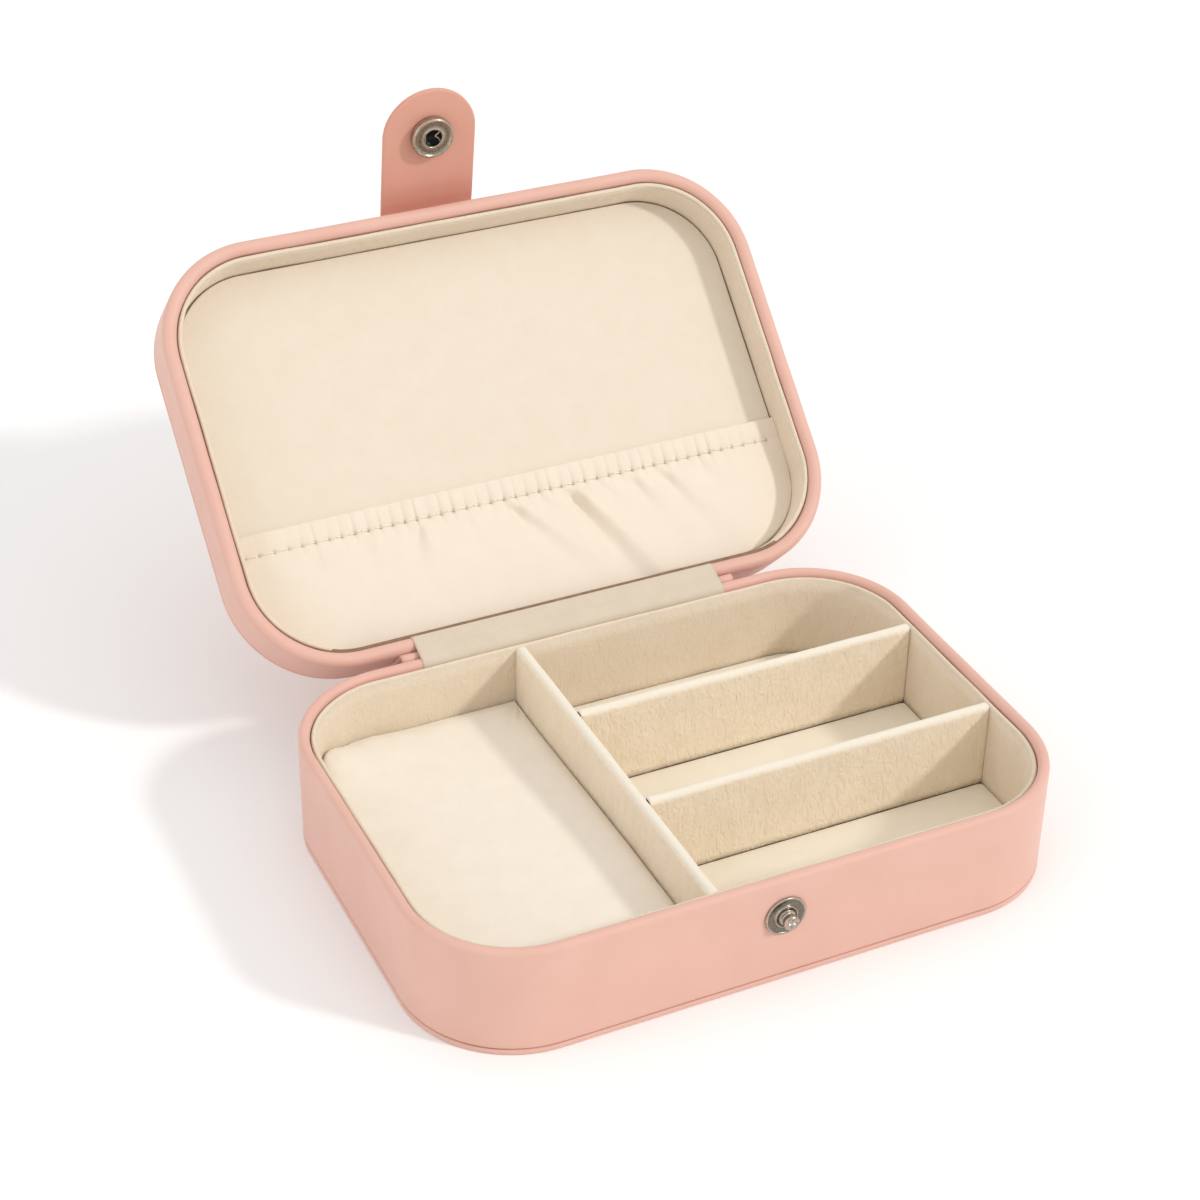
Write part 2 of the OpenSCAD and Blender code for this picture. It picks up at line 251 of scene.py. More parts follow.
def metal(name, colour, dark, low, high):
    """Plated steel with fine scratches and dull patches, and painted shade and dark reflections where the
    mesh's layer says.
    """
    n = Nodes(name)
    patch = n.spread(n.noise(1.2, 4), 0.35, 0.7)
    rough = n.spread(n.noise(0.5, 4), 0.3, 0.7, low, high)
    return n.finish(
        Base_Color=n.painted_shade(n.mix(patch, colour, dark), [0.3 * c for c in dark[:3]] + [1]),
        Metallic=1.0,
        Roughness=rough,
        Normal=n.bump(n.noise(0.25, 3), 0.01, 0.4),
    )


def board(name, colour, shade, size):
    """Card or foam, hidden under the covers."""
    n = Nodes(name)
    tone = n.mix(n.spread(n.noise(size, 4), 0.3, 0.7), colour, shade)
    return n.finish(Base_Color=tone, Roughness=0.95, Normal=n.bump(n.noise(size / 3, 3), 0.1, 0.6))


PINK = leatherette("pink_leatherette", (0.735, 0.438, 0.358, 1), (0.71, 0.415, 0.335, 1))
STRAP_PINK = leatherette("strap_leatherette", (0.70, 0.355, 0.27, 1), (0.68, 0.34, 0.255, 1))
CREAM = suede("cream_suede", (0.84, 0.765, 0.665, 1), (0.80, 0.72, 0.605, 1))
FLOOR_CREAM = suede("floor_suede", (0.87, 0.80, 0.67, 1), (0.835, 0.76, 0.625, 1))
LINER_CREAM = suede("liner_suede", (0.76, 0.65, 0.51, 1), (0.72, 0.60, 0.46, 1), wrinkle=0.28)
CREPE = suede(
    "crepe_suede", (0.87, 0.755, 0.60, 1), (0.81, 0.685, 0.52, 1), wrinkle=0.48, highlight_above=TOP_HIGHLIGHT_LOW
)
PANEL_CREAM = suede("panel_suede", (0.77, 0.675, 0.56, 1), (0.745, 0.645, 0.525, 1))
POCKET_CREAM = suede("pocket_microfibre", (0.81, 0.705, 0.59, 1), (0.785, 0.68, 0.56, 1), grain=0.5)
LINING_CREAM = suede("hinge_lining_suede", (0.65, 0.555, 0.44, 1), (0.61, 0.515, 0.40, 1))
THREAD = suede("thread", (0.86, 0.79, 0.67, 1), (0.80, 0.72, 0.58, 1), grain=0.4)
NICKEL = metal("nickel", (0.50, 0.44, 0.37, 1), (0.38, 0.32, 0.26, 1), 0.2, 0.4)
# near-black: painted shade for the depth behind the snap socket's hole
PAINTED_SHADE_STEEL = metal("painted_shade_steel", (0.03, 0.03, 0.03, 1), (0.015, 0.015, 0.015, 1), 0.4, 0.6)
CARD = board("brown_board", (0.30, 0.19, 0.12, 1), (0.22, 0.13, 0.08, 1), 2.0)
FOAM = board("foam", (0.88, 0.86, 0.78, 1), (0.82, 0.79, 0.70, 1), 0.8)


# ---- Meshes ----


def put(name, data):
    """A new object in the scene."""
    thing = bpy.data.objects.new(name, data)
    bpy.context.scene.collection.objects.link(thing)
    return thing


def make(name, points, faces, material, smooth=True):
    """A mesh object from points in millimetres."""
    mesh = bpy.data.meshes.new(name)
    mesh.from_pydata((np.asarray(points) * MM).tolist(), [], faces)
    mesh.materials.append(material)
    work = bmesh.new()
    work.from_mesh(mesh)
    bmesh.ops.recalc_face_normals(work, faces=work.faces)
    for face in work.faces:
        face.smooth = smooth and len(face.verts) <= 4
    work.to_mesh(mesh)
    work.free()
    return put(name, mesh)


PLACES = {"base": Matrix.Identity(4), "lid": LID}  # where each body's pieces are drawn from


def attach(body, name, shape, material, slot, *nodes):
    """A piece that rides on a body, hiding the nodes it stands for; its slot argument is not used."""
    points, faces = shape
    piece = make(name, place(points, PLACES[body]), faces, material)
    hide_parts(*nodes)
    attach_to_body(piece, body)
    return piece


def bend(piece, bodies, start, end, slot, *nodes):
    """Hides the nodes that a piece stands for and bakes its placement into its mesh; the bodies and the
    points it would bend between are not used.
    """
    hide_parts(*nodes)
    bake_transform(piece)


def paint_shade(piece, amounts):
    """Says how much painted shade and dark reflection darkens each point of a piece, from 0 to 1, for its
    material.
    """
    layer = piece.data.attributes.new("painted_shade", "FLOAT", "POINT")
    layer.data.foreach_set("value", np.asarray(amounts, np.float32))


def unit(t):
    """A value kept between 0 and 1."""
    return np.clip(t, 0, 1)


def ease(t):
    """0 to 1, with a smooth start and end."""
    return unit(t) ** 2 * (3 - 2 * unit(t))


def bell(t):
    """1 at 0, and falling smoothly on both sides."""
    return np.exp(-(t**2))


def rounded(t):
    """0 to 1, up a quarter of a circle."""
    return np.sqrt(unit(1 - (1 - unit(t)) ** 2))


def normalised(vectors):
    """The same directions, with a length of 1."""
    return vectors / np.linalg.norm(vectors, axis=-1, keepdims=True)


def grid(rows, columns, wrap_rows=False, wrap_columns=False):
    """Faces of a grid of points stored row by row."""
    faces = []
    for i in range(rows if wrap_rows else rows - 1):
        for j in range(columns if wrap_columns else columns - 1):
            i2, j2 = (i + 1) % rows, (j + 1) % columns
            faces.append([i * columns + j, i * columns + j2, i2 * columns + j2, i2 * columns + j])
    return faces


def joined(*parts):
    """Points and faces of several parts as one."""
    points, faces, start = [], [], 0
    for part_points, part_faces in parts:
        points.append(np.asarray(part_points, float).reshape(-1, 3))
        faces += [[start + k for k in face] for face in part_faces]
        start += len(points[-1])
    return np.vstack(points), faces


def arc(centre, radius, first, last, steps=6):
    """Points of an arc, with both radii the same or as a pair, and angles in degrees."""
    angles = np.radians(np.linspace(first, last, steps + 1))
    ring = np.stack([np.cos(angles), np.sin(angles)], axis=1)
    return (np.array(centre) + np.array(radius) * ring).tolist()


def perimeter():
    """Points round the case's outline, and their outward normals."""
    step = 1.6
    half = np.array([CASE_W, CASE_D]) / 2 - CORNER_R
    corners = [half * sign for sign in ([1, 1], [-1, 1], [-1, -1], [1, -1])]
    turns = np.linspace(0, 90, 1 + round(CORNER_R * math.pi / 2 / step))
    points, normals = [], []
    for quarter, corner in enumerate(corners):
        for angle in np.radians(turns + 90 * quarter):
            normal = np.array([math.cos(angle), math.sin(angle)])
            points.append(corner + CORNER_R * normal)
            normals.append(normal)
        run = corners[(quarter + 1) % 4] - corner
        count = round(np.linalg.norm(run) / step)
        for k in range(1, count):
            points.append(corner + CORNER_R * normal + run * k / count)
            normals.append(normal)
    return np.array(points), np.array(normals)


def ripple(points, size, seed):
    """Smooth noise of about -1 to 1 at each point."""
    shift = Vector((seed, 0.37 * seed, 1.7 * seed))
    return np.array([noise.noise(Vector(p) / size + shift) for p in points])


def band(profile, sway=0.0, seed=0.0, closed=True):
    """A profile of insets and heights, swept round the case's outline.

    sway moves the profile in and out, and half as much up and down, along its way.
    """
    outline, normals = perimeter()
    profile = np.asarray(profile, float)
    flat = np.column_stack([outline, np.zeros(len(outline))])
    drift = sway * ripple(flat, 14, seed)
    inset = profile[None, :, 0] + drift[:, None]
    height = profile[None, :, 1] + sway / 2 * ripple(flat, 9, seed + 5)[:, None]
    xy = outline[:, None, :] - inset[:, :, None] * normals[:, None, :]
    points = np.concatenate([xy, height[:, :, None]], axis=2).reshape(-1, 3)
    return points, grid(len(outline), len(profile), True, closed)


def plate(profile):
    """A profile swept round the case's outline, and closed below and above."""
    points, faces = band(profile, closed=False)
    columns = len(profile)
    rows = len(points) // columns
    faces.append([i * columns for i in range(rows)])
    faces.append([i * columns + columns - 1 for i in range(rows)])
    return points, faces


def offset(outline, distance):
    """A closed outline moved inwards by a distance."""
    before, after = np.roll(outline, 1, axis=0), np.roll(outline, -1, axis=0)
    a, b = normalised(outline - before), normalised(after - outline)
    inward = np.stack([-(a + b)[:, 1], (a + b)[:, 0]], axis=1)
    return outline + distance * 2 * inward / np.sum((a + b) ** 2, axis=1)[:, None]


def cut_off(outline, axis, limit, sign):
    """The part of a closed outline on one side of a straight line."""
    kept = []
    for a, b in zip(outline, np.roll(outline, -1, axis=0)):
        da, db = sign * (limit - a[axis]), sign * (limit - b[axis])
        if da >= 0:
            kept.append(a)
        if da * db < 0:
            kept.append(a + (b - a) * da / (da - db))
    return np.array(kept)


def resample(path, step, loop=False):
    """A path at even steps, and back to its start if it is a loop."""
    path = np.vstack([path, path[:1]]) if loop else np.asarray(path, float)
    along = np.concatenate([[0], np.cumsum(np.linalg.norm(np.diff(path, axis=0), axis=1))])
    count = max(1, round(along[-1] / step))
    at = np.linspace(0, along[-1], count if loop else count + 1, endpoint=not loop)
    return np.stack([np.interp(at, along, path[:, k]) for k in range(path.shape[1])], axis=1)


def tray_outline(inset, x_low, x_high, y_low, y_high, softened=2):
    """The liner's outline at an inset, cut off at straight lines, with softened corners."""
    outline, normals = perimeter()
    outline = outline - inset * normals
    for axis, limit, sign in ((0, x_low, -1), (0, x_high, 1), (1, y_low, -1), (1, y_high, 1)):
        outline = cut_off(outline, axis, limit, sign)
    points = resample(outline, 0.8, loop=True)
    for _ in range(softened):
        points = (np.roll(points, 1, axis=0) + 2 * points + np.roll(points, -1, axis=0)) / 4
    return points


def pad(outline, profile, rings=14):
    """A closed pad from an outline and a profile of insets and heights, bottom to top.

    The top is filled with ever smaller rings, so that it can be shaped.
    """
    loops = [np.column_stack([offset(outline, i), np.full(len(outline), z)]) for i, z in profile]
    edge, centre = loops[-1], loops[-1].mean(axis=0)
    loops += [centre + (edge - centre) * (1 - k / rings) for k in range(1, rings)]
    rows, columns = len(loops), len(outline)
    points = np.vstack(loops + [centre[None, :]])
    faces = grid(rows, columns, wrap_columns=True)
    faces.append(list(range(columns)))
    last = (rows - 1) * columns
    faces += [[last + j, last + (j + 1) % columns, rows * columns] for j in range(columns)]
    return points, faces


def lathe(profile, segments=96):
    """A profile of radii and heights turned about Z, closed where it starts and ends on the axis."""
    profile = np.asarray(profile, float)
    solid = profile[0][0] == 0
    rim = profile[1:-1] if solid else profile
    angles = np.linspace(0, 2 * math.pi, segments, endpoint=False)
    ring = np.stack([np.cos(angles), np.sin(angles)], axis=1)
    xy = ring[:, None, :] * rim[None, :, :1]
    z = np.broadcast_to(rim[None, :, 1:], xy.shape[:2] + (1,))
    points = np.concatenate([xy, z], axis=2).reshape(-1, 3)
    faces = grid(segments, len(rim), wrap_rows=True, wrap_columns=not solid)
    if solid:
        poles = [[0, 0, profile[0][1]], [0, 0, profile[-1][1]]]
        for pole, column in ((0, 0), (1, len(rim) - 1)):
            for k in range(segments):
                here, there = k * len(rim) + column, (k + 1) % segments * len(rim) + column
                faces.append([len(points) + pole, here, there])
        points = np.vstack([points, poles])
    return points, faces


def tube(path, radius, sides):
    """A round wire or thread along a path, with rounded ends."""
    path = np.asarray(path, float)
    ahead = normalised(np.gradient(path, axis=0))
    side = normalised(np.cross(ahead, [0, 0, 1.0] if abs(ahead[0][2]) < 0.8 else [1.0, 0, 0]))
    other = np.cross(ahead, side)
    stations = [(path[0] - ahead[0] * radius * 0.6, 0, 0.6)]
    stations += [(at, k, 1.0) for k, at in enumerate(path)]
    stations += [(path[-1] + ahead[-1] * radius * 0.6, len(path) - 1, 0.6)]
    angles = np.linspace(0, 2 * math.pi, sides, endpoint=False)
    points = [
        at + radius * share * (np.cos(t) * side[k] + np.sin(t) * other[k])
        for at, k, share in stations
        for t in angles
    ]
    faces = grid(len(stations), sides, wrap_columns=True)
    for ring, end in ((0, path[0] - ahead[0] * radius), (len(stations) - 1, path[-1] + ahead[-1] * radius)):
        points.append(end)
        faces += [[ring * sides + j, ring * sides + (j + 1) % sides, len(points) - 1] for j in range(sides)]
    return np.array(points), faces


def two_sided(top, bottom):
    """Two grids of points, rows by columns, joined round their border into a closed sheet."""
    rows, columns = top.shape[:2]
    count = rows * columns
    faces = grid(rows, columns)
    faces += [[count + k for k in face[::-1]] for face in grid(rows, columns)]
    index = np.arange(count).reshape(rows, columns)
    border = np.concatenate([index[0, :-1], index[:-1, -1], index[-1, :0:-1], index[:0:-1, 0]])
    after = np.roll(border, -1)
    faces += [[int(a), int(b), int(count + b), int(count + a)] for a, b in zip(border, after)]
    return np.vstack([top.reshape(-1, 3), bottom.reshape(-1, 3)]), faces


def shell(middle, thickness):
    """A closed sheet around a grid of middle points."""
    normal = normalised(np.cross(np.gradient(middle, axis=0), np.gradient(middle, axis=1)))
    return two_sided(middle + normal * thickness / 2, middle - normal * thickness / 2)


def across(path, width, step):
    """A grid of points: a path in Y and Z, repeated across the width."""
    x = np.linspace(-width / 2, width / 2, 1 + round(width / step))
    middle = np.zeros((len(path), len(x), 3))
    middle[:, :, 0] = x
    middle[:, :, 1:] = np.asarray(path)[:, None, :]
    return middle


# ---- Cloth ----

CLOTH_SCALE = 10 * MM  # the solver is steadier on a model ten times life size


def settle(points, faces, pinned, frames, bending, pull=(0, 0, 0), cut=None, pressure=0.0):
    """The points after a cloth simulation, in millimetres.

    pull is a push on the cloth, as a share of gravity, and cut holds the points of
    the flat pieces that it was cut to, where they differ from where it starts.
    """
    scene = bpy.context.scene
    mesh = bpy.data.meshes.new("settling")
    mesh.from_pydata((np.asarray(points) * CLOTH_SCALE).tolist(), [], faces)
    cloth = put("settling", mesh)
    group = cloth.vertex_groups.new(name="pinned")
    group.add([int(k) for k in np.flatnonzero(pinned)], 1, "REPLACE")
    solver = cloth.modifiers.new("cloth", "CLOTH")
    settings = solver.settings
    settings.vertex_group_mass = "pinned"
    settings.quality = 7
    settings.mass = 0.3
    settings.tension_stiffness = settings.compression_stiffness = 20
    settings.shear_stiffness = 8
    settings.bending_stiffness = bending
    settings.tension_damping = settings.compression_damping = 15
    settings.use_pressure = pressure > 0
    settings.uniform_pressure_force = pressure
    solver.collision_settings.use_collision = False
    if cut is not None:
        cloth.shape_key_add(name="Basis")
        key = cloth.shape_key_add(name="cut")
        key.data.foreach_set("co", (np.asarray(cut) * CLOTH_SCALE).astype(np.float32).ravel())
        settings.rest_shape_key = key
    solver.point_cache.frame_start, solver.point_cache.frame_end = 1, frames
    gravity = scene.gravity.copy()
    scene.gravity = Vector(pull) * 9.81
    for step in range(1, frames + 1):
        scene.frame_set(step)
    settled = cloth.evaluated_get(bpy.context.evaluated_depsgraph_get())
    found = np.empty(len(points) * 3, np.float32)
    settled.data.vertices.foreach_get("co", found)
    bpy.data.objects.remove(cloth)
    scene.gravity = gravity
    scene.frame_set(1)
    return found.reshape(-1, 3).astype(float) / CLOTH_SCALE


# ---- Camera, light and floor ----

CAMERA_AT = (-239.3, -449.7, 406.4)
CAMERA_AZIMUTH, CAMERA_ELEVATION, CAMERA_ROLL = -25.99, 33.51, 1.10
LENS = 79.36


def add_camera():
    a, e, r = (math.radians(v) for v in (CAMERA_AZIMUTH, CAMERA_ELEVATION, CAMERA_ROLL))
    back = Vector((math.sin(a) * math.cos(e), -math.cos(a) * math.cos(e), math.sin(e)))
    level = Vector((math.cos(a), math.sin(a), 0))
    upright = back.cross(level)
    right = level * math.cos(r) + upright * math.sin(r)
    data = bpy.data.cameras.new("camera")
    data.lens, data.sensor_width = LENS, 36
    camera = put("camera", data)
    turn = Matrix((right, back.cross(right), back)).transposed().to_4x4()
    camera.matrix_world = Matrix.Translation(Vector(CAMERA_AT) * MM) @ turn
    bpy.context.scene.camera = camera


def add_sun(name, towards, strength, angle, colour):
    data = bpy.data.lights.new(name, "SUN")
    data.energy, data.angle, data.color = strength, math.radians(angle), colour
    put(name, data).rotation_euler = Vector(towards).to_track_quat("Z", "Y").to_euler()


SKY_TOP, SKY_SIDE = 1.02, 0.55  # soft box overhead, dimmer walls
KEY_TOWARDS, FILL_TOWARDS = (1.08, -1.065, 1), (-1.2, -0.15, 0.45)


def add_sky():
    world = bpy.data.worlds.new("studio")
    world.use_nodes = True
    nodes, links = world.node_tree.nodes, world.node_tree.links
    where = nodes.new("ShaderNodeTexCoord").outputs["Generated"]
    height = nodes.new("ShaderNodeSeparateXYZ")
    links.new(where, height.inputs[0])
    level = nodes.new("ShaderNodeMapRange")
    links.new(height.outputs["Z"], level.inputs["Value"])
    level.inputs["To Min"].default_value = SKY_SIDE
    level.inputs["To Max"].default_value = SKY_TOP
    background = nodes["Background"]
    background.inputs["Color"].default_value = (1, 0.997, 0.99, 1)
    links.new(level.outputs["Result"], background.inputs["Strength"])
    bpy.context.scene.world = world


def add_studio():
    add_sky()
    add_sun("key", KEY_TOWARDS, 1.25, 6, (1, 0.985, 0.95))
    add_sun("fill", FILL_TOWARDS, 0.58, 60, (1, 0.99, 0.98))
    bpy.context.scene.view_settings.view_transform = "Standard"
    n = Nodes("pale_floor")
    tone = n.mix(n.spread(n.noise(60, 3), 0.3, 0.7), (0.96, 0.96, 0.96, 1), (0.95, 0.95, 0.95, 1))
    material = n.finish(Base_Color=tone, Roughness=0.9)
    far = 4000
    corners = [(-far, -far, -0.05), (far, -far, -0.05), (far, far, -0.05), (-far, far, -0.05)]
    make("floor", corners, [[0, 1, 2, 3]], material, smooth=False)


add_camera()
add_studio()


# ---- Base ----


TUCK, TURN_IN = 0.5, 7  # of a cover under the wall's far edge, and down inside its rim


def wall_cover_profile(wall, low, high):
    """Leatherette down the outside of a wall, rolled over its rim and turned in.

    Heights run from the rim, at high, to the wall's far edge, at low.
    """
    down = 1 if high > low else -1
    r, skin = wall / 2, SKIN
    outer = [[TUCK, low], [0.16, low + down * 0.12], [0.04, low + down * 0.35], [0, low + down * 0.7]]
    outer += [[0, z] for z in np.linspace(low + down * 2, high - down * (r + 1), 8)]
    roll = arc([r, high - down * r], [r, down * r], 180, 0, 14)
    inner = [[wall, high - down * (r + 1)], [wall, high - down * TURN_IN]]
    back = [[wall - skin, high - down * TURN_IN], [wall - skin, high - down * r]]
    under = arc([r, high - down * r], [r - skin, down * (r - skin)], 0, 180, 6)
    return outer + roll + inner + back + under[1:] + [[skin, low]]


def base_wall():
    profile = wall_cover_profile(BASE_WALL, SEAM_Z, BASE_H)
    shape = band(profile, sway=0.08, seed=1)
    attach("base", "base_wall_skin", shape, PINK, "leatherette", "base_wall_cover")


def bottom_plate():
    r = 0.45
    profile = [[2, 0]] + arc([r, r], r, 270, 180)
    profile += arc([r, PLATE_T - r], r, 180, 90) + [[2, PLATE_T]]
    attach("base", "base_bottom_skin", plate(profile), PINK, "leatherette", "base_bottom_cover")


LINER_GAP = 0.3  # between a wall's rim and the liner behind it


def liner_profile(outer, inner, low, high):
    """Suede over one side and the rounded top edge of a card, and down behind it."""
    down = 1 if high > low else -1
    r = (inner - outer) / 2
    front = [[inner, z] for z in np.linspace(low, high - down * r, 7)]
    top = arc([outer + r, high - down * r], [r, down * r], 0, 180, 10)
    return front + top + [[outer, low]]


def base_liner():
    outer = BASE_WALL + LINER_GAP
    profile = liner_profile(outer, BASE_LINER_IN, span("base_liner_suede")[0][2], LINER_TOP)
    shape = band(profile, sway=0.2, seed=3)
    attach("base", "base_liner_skin", shape, LINER_CREAM, "suede", "base_liner_suede")


GAP = 0.12  # joint lines beside the floors and dividers
long_low, long_high = span("long_divider_suede")
rear_low, rear_high = span("rear_divider_suede")
front_low, front_high = span("front_divider_suede")
INNER_X, INNER_Y = CASE_W / 2 - BASE_LINER_IN, CASE_D / 2 - BASE_LINER_IN


def tray_floor():
    """The suede floor, one patch for each right-hand compartment."""
    parts, r = [], 0.3
    profile = [(0, FLOOR_LOW)] + [(r - d, z) for d, z in arc([0, FLOOR_Z - r], r, 0, 90, 4)]
    x_low, x_high = long_high[0] + GAP, INNER_X - GAP
    for y_low, y_high in (
        (rear_high[1], INNER_Y),
        (front_high[1], rear_low[1]),
        (-INNER_Y, front_low[1]),
    ):
        outline = tray_outline(BASE_LINER_IN + GAP, x_low, x_high, y_low + GAP, y_high - GAP)
        parts.append(pad(outline, profile))
    attach("base", "tray_floor_skin", joined(*parts), FLOOR_CREAM, "suede", "tray_floor_suede")


PAD_SOFT = 1.6  # rounding of the pad's edge
PAD_SWELL = 0.7  # most that its suede rises
PAD_FIT = 0.15  # between the pad and the liner or the divider
PAD_LIFT = 7.6  # its back left corner rides up the liner
PAD_LIFT_REACH = 8.5
PAD_LIFT_TURN = 141  # where that is on the rounded corner, in degrees from the right
PAD_TILT = 2.6  # and its front right side rises beside the divider
TILT_FROM, TILT_WIDE, TILT_DEEP = -75, 45, 75  # in X, across and from back to front
LEFT_RISE, LEFT_REACH = 0.5, 7  # the suede is fuller along the left wall


def floor_pad():
    """The raised left floor: foam under suede, swollen, and lifted at its back left corner."""
    x_high = long_low[0] - PAD_FIT
    outline = tray_outline(BASE_LINER_IN + PAD_FIT, -CASE_W, x_high, -CASE_D, CASE_D, softened=10)
    profile = [(0.4, FLOOR_LOW), (0, FLOOR_LOW + 0.4)] + [(0, PAD_TOP - down) for down in (5, 3, 2.2)]
    profile += [(PAD_SOFT - d, z) for d, z in arc([0, PAD_TOP - PAD_SOFT], PAD_SOFT, 0, 90, 6)]
    points, faces = pad(outline, profile, 26)
    pinned = points[:, 2] < PAD_TOP - PAD_SOFT
    moved = settle(points, faces, pinned, 16, bending=3.0, pressure=1.5) - points
    moved *= np.minimum(1, PAD_SWELL / np.maximum(np.linalg.norm(moved, axis=1), 1e-6))[:, None]
    points += moved * np.array([0.2, 0.2, 1.0])
    turn = math.radians(PAD_LIFT_TURN)
    corner = np.array([-CASE_W, CASE_D]) / 2 + CORNER_R * np.array([1, -1])
    corner += (CORNER_R - BASE_LINER_IN) * np.array([math.cos(turn), math.sin(turn)])
    away = np.linalg.norm(points[:, :2] - corner, axis=1)
    rise = unit((points[:, 2] - FLOOR_LOW - 1) / (PAD_TOP - FLOOR_LOW - 1))
    points[:, 2] += rise * PAD_LIFT * np.exp(-np.hypot(away, 1.2) / PAD_LIFT_REACH)
    forward = ease((INNER_Y - points[:, 1]) / TILT_DEEP)
    points[:, 2] += rise * PAD_TILT * forward * ease((points[:, 0] - TILT_FROM) / TILT_WIDE)
    beside = unit(1 - (points[:, 0] + INNER_X) / LEFT_REACH)
    points[:, 2] += rise * (LEFT_RISE * beside**2 + 0.12 * ripple(points * [1, 1, 0], 16, 51))
    piece = attach("base", "floor_pad", (points, faces), CREAM, "suede", "pad_suede")


END_FOLD = 0.35  # how much of a divider's end is drawn in
END_SQUEEZE = 0.14  # and by what share of its thickness


def divider(name, low, high, along, seed):
    """A suede-covered card with a padded, rounded top edge."""
    other = 1 - along
    length, thick = (high - low)[along], (high - low)[other]
    top, r = high[2], thick / 2
    half = [[r, z] for z in np.linspace(low[2], top - r - 0.2, 12)]
    half += arc([0, top - r], r, 0, 90, 8)
    section = np.array(half + [[-u, z] for u, z in half[::-1][1:]])
    inner_rows = np.linspace(1, length - 1, round(length / 1.4))
    rows = np.concatenate([[0, END_FOLD], inner_rows, [length - END_FOLD, length]])
    points = []
    for at in rows:
        end = min(at, length - at)
        squeeze = 1 - END_SQUEEZE * max(0.0, 1 - end / END_FOLD) ** 2
        ring = section * [squeeze, 1]
        ring[:, 1] = np.minimum(ring[:, 1], top - (0.3 if end == 0 else 0))
        here = np.zeros((len(ring), 3))
        here[:, along], here[:, other], here[:, 2] = low[along] + at, ring[:, 0], ring[:, 1]
        points.append(here)
    points = np.vstack(points)
    lumps = ripple(points, 8, seed)
    rise = unit((points[:, 2] - low[2]) / (top - low[2]))
    points[:, other] *= 1 + 0.07 * lumps
    points[:, other] += 0.12 * ripple(points * [1, 1, 0], 30, seed + 3) * rise + (low + high)[other] / 2
    points[:, 2] += 0.16 * ripple(points * [1, 1, 0], 11, seed + 7) * rise**4
    count = len(section)
    faces = grid(len(rows), count, wrap_columns=True)
    faces.append(list(range(count)))
    faces.append([(len(rows) - 1) * count + j for j in range(count)])
    attach("base", f"{name}_skin", (points, faces), CREPE, "suede", f"{name}_suede")


base_wall()
bottom_plate()
base_liner()
tray_floor()
floor_pad()
divider("long_divider", long_low, long_high, 1, 11)
divider("rear_divider", rear_low, rear_high, 0, 17)
divider("front_divider", front_low, front_high, 0, 23)


# ---- Lid ----


def lid_wall():
    profile = wall_cover_profile(LID_WALL, WALL_TOP, 0)
    shape = band(profile, sway=0.08, seed=31)
    attach("lid", "lid_wall_skin", shape, PINK, "leatherette", "lid_wall_cover")


def lid_top():
    """Leatherette over thin foam: a soft edge and a slightly crowned face."""
    r, crown, innermost = 2.3, 0.7, 26.5
    edge_h = LID_H - 0.1
    profile = [[3, PLATE_LOW], [0.3, PLATE_LOW], [0, PLATE_LOW + 0.3]]
    profile += arc([r, LID_H - r - 0.1], r, 180, 90, 10)[1:]
    for inset in (4, 6, 9, 13, 18, 23, innermost):
        profile.append([inset, edge_h + crown * math.sin(math.pi / 2 * (inset - r) / (innermost - r))])
    attach("lid", "lid_top_skin", plate(profile), PINK, "leatherette", "lid_top_cover")


LINER_CUT = 8.5  # how much lower the lid's liner is along the hinge side
CUT_REACH, CUT_RUN = 64, 11  # how far to each side, and over what length it ends


def lid_liner():
    """The lid's liner, cut low along the hinge side, where the pocket's seam takes its place."""
    profile = liner_profile(LID_WALL + LINER_GAP, LID_LINER_IN, LINING_TOP, LID_LINER_DROP)
    points, faces = band(profile, sway=0.2, seed=41)
    shallow = unit((LINING_TOP - points[:, 2]) / (LINING_TOP - LID_LINER_DROP))
    low_cut = LINER_CUT * ease((CUT_REACH - np.abs(points[:, 0])) / CUT_RUN)
    points[:, 2] += low_cut * shallow * (points[:, 1] > 0)
    attach("lid", "lid_liner_skin", (points, faces), LINER_CREAM, "suede", "lid_liner_suede")


def lid_panel():
    edge = LID_LINER_IN + 0.35
    profile = [[edge, LINING_TOP - 1.3], [edge, PANEL + 0.35]]
    profile += arc([edge + 0.4, PANEL + 0.35], [0.4, -0.35], 180, 90, 5)[1:] + [[edge + 3, PANEL]]
    attach("lid", "lid_panel_skin", plate(profile), PANEL_CREAM, "suede", "lid_panel_suede")


lid_wall()
lid_top()
lid_liner()
lid_panel()

# ---- Hinge ----

COVER_W = span("hinge_cover")[1][0] * 2
LINING_W = span("hinge_lining")[1][0] * 2
COVER_LOW = span("hinge_cover")[0][2]
COVER_FLAP = 10.0  # up the lid's wall
LINING_T = 0.18
LINING_SAG = 0.22  # of the lining in the fold, between the two rims


